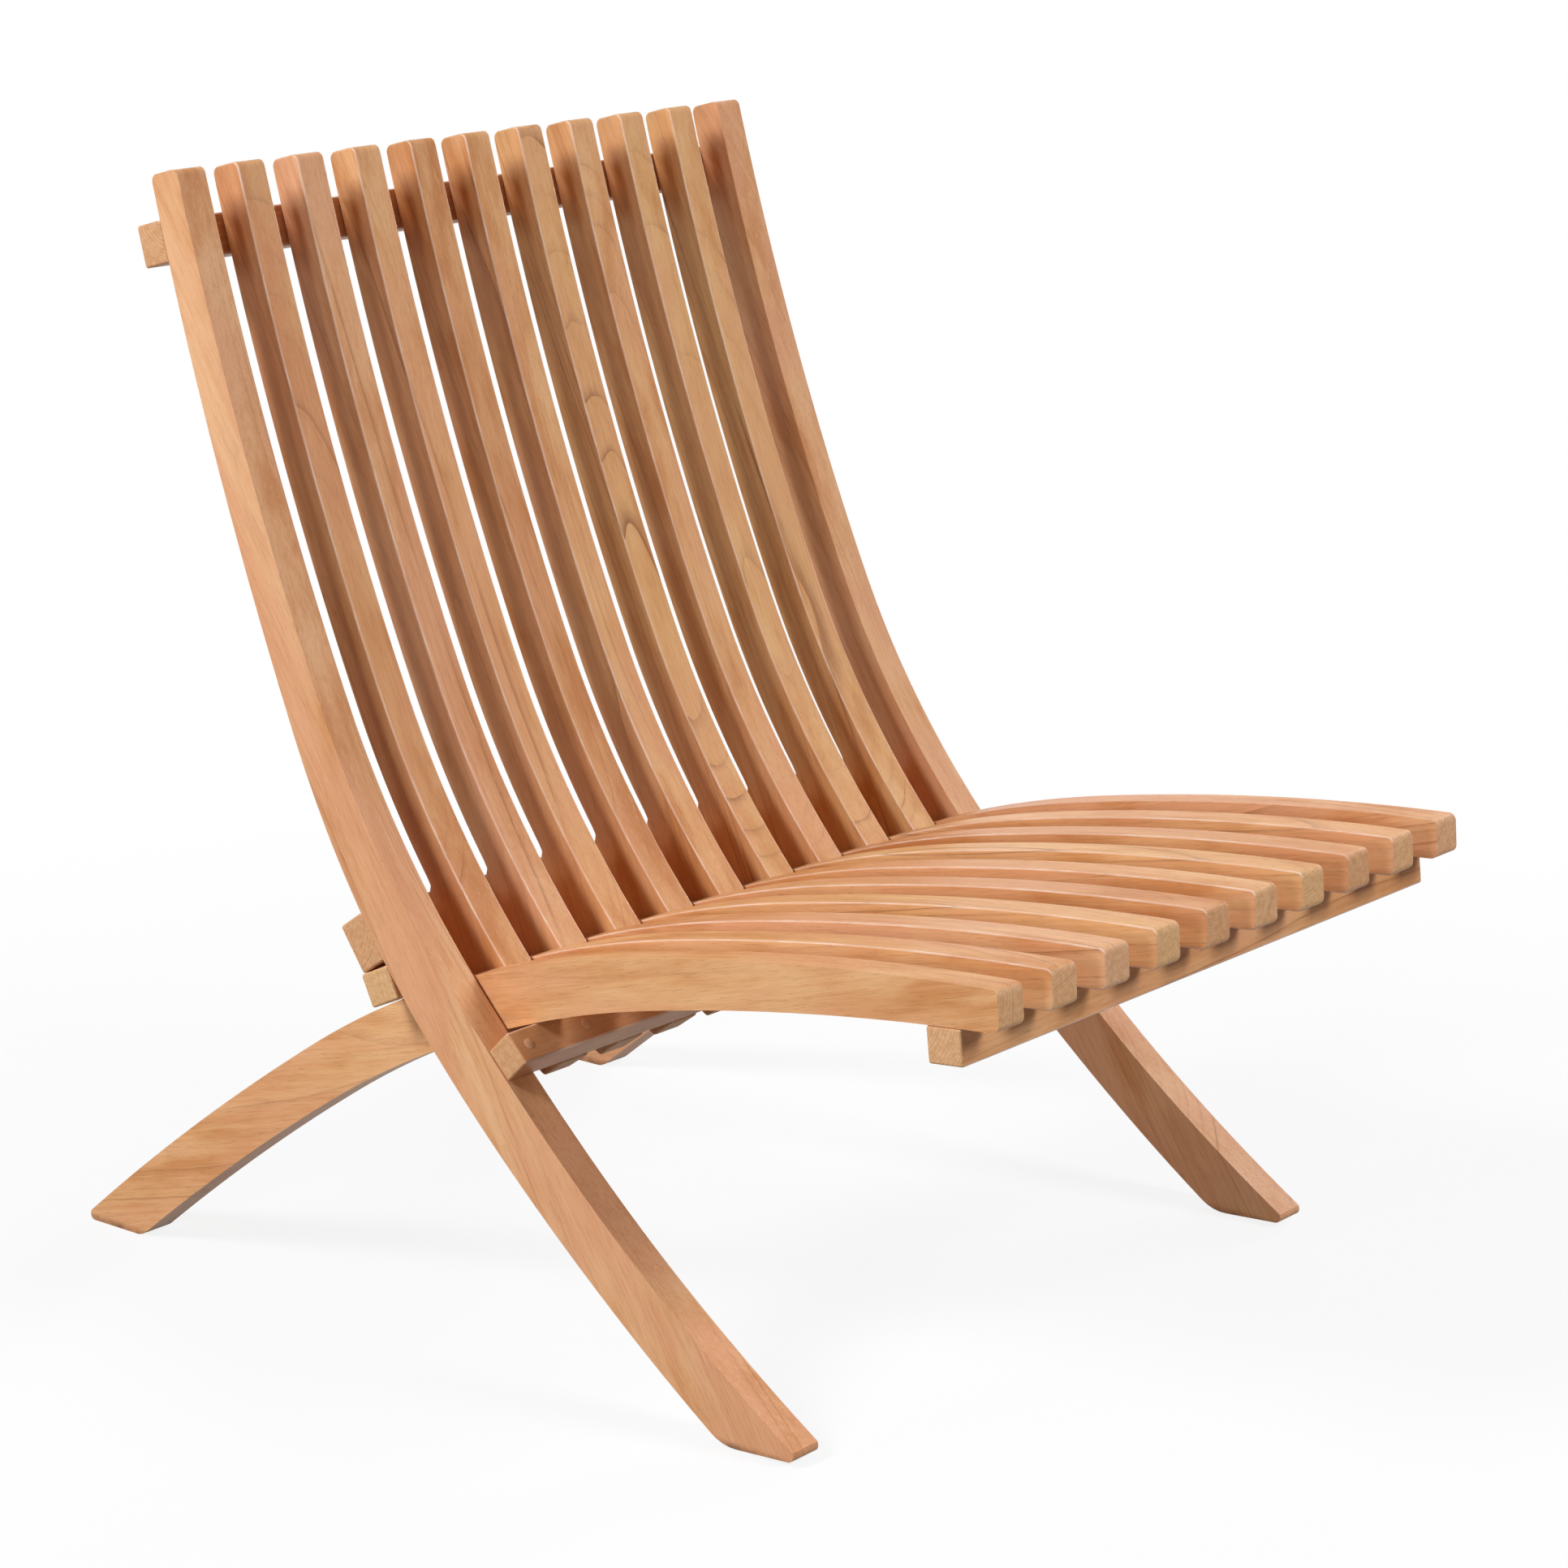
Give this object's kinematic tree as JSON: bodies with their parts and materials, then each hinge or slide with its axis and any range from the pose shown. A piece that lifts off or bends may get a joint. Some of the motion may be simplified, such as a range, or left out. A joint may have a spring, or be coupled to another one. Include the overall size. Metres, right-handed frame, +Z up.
{
  "type": "folding outdoor lounge chair",
  "caption": "Low teak lounge chair of two interlaced curved-slat frames that cross like an X and fold flat about a hidden rod.",
  "frame": {"origin": "on the floor, below the middle of the unfolded chair's bounding box", "axes": "+Z up, +X to the left hand of someone sitting in the chair, +Y towards the back; the sitter faces -Y"},
  "size_m": [0.596, 0.8556, 0.807],
  "materials": {
    "teak": "oiled satin",
    "steel": "satin"
  },
  "bodies": {
    "back_frame": {"back_slat_01_front_leg": "teak", "back_slat_02": "teak", "back_slat_03": "teak", "back_slat_04": "teak", "back_slat_05": "teak", "back_slat_06": "teak", "back_slat_07": "teak", "back_slat_08": "teak", "back_slat_09": "teak", "back_slat_10": "teak", "back_slat_11_front_leg": "teak", "top_back_rail": "teak", "lower_back_rail": "teak", "under_seat_rail": "teak", "pivot_rod": "steel"},
    "seat_frame": {"seat_slat_01_rear_leg": "teak", "seat_slat_02": "teak", "seat_slat_03": "teak", "seat_slat_04": "teak", "seat_slat_05": "teak", "seat_slat_06": "teak", "seat_slat_07": "teak", "seat_slat_08": "teak", "seat_slat_09": "teak", "seat_slat_10_rear_leg": "teak", "front_seat_rail": "teak", "rear_seat_rail": "teak"}
  },
  "joints": [
    {"name": "fold", "type": "hinge", "parent": "back_frame", "child": "seat_frame", "pos_m": [0, 0.02584, 0.245], "axis": [-1, 0, 0], "range_deg": [0, 104]}
  ]
}
